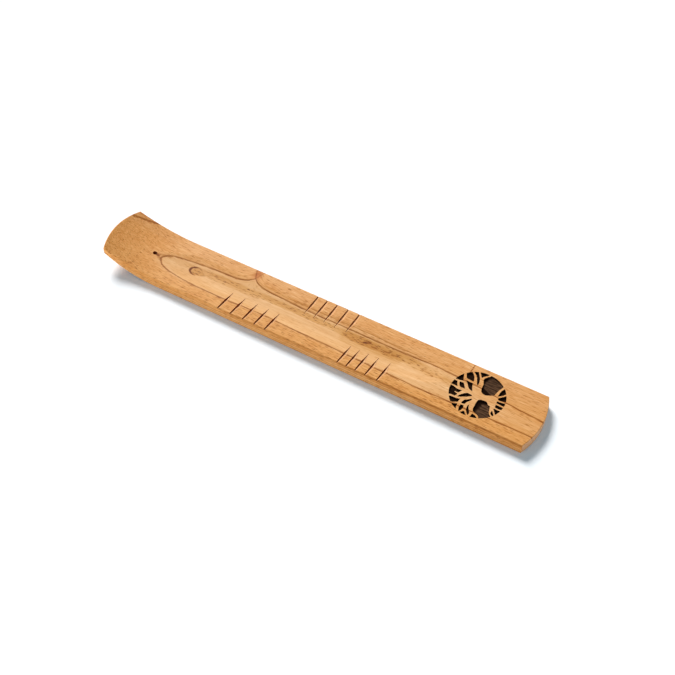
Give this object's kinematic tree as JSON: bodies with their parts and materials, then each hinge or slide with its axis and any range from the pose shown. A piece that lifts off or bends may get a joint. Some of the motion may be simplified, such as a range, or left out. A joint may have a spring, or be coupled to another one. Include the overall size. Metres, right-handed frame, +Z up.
{
  "type": "incense stick holder",
  "caption": "Flat wooden incense stick holder with a curled tip, a leaning stick hole, a shallow ash channel, filed notches and an engraved tree roundel.",
  "frame": {"origin": "on the table under the middle of the board's length and width", "axes": "+X along the board from the curled tip to the engraved end, +Y to the side with one group of notches, +Z up"},
  "size_m": [0.2585, 0.0342, 0.0143],
  "materials": {
    "oiled_wood": "sanded and lightly oiled, satin",
    "charred_wood": "burnt by a laser, matt"
  },
  "bodies": {
    "root": {"holder_board": "oiled_wood", "charred_engraving": "charred_wood"}
  },
  "joints": []
}
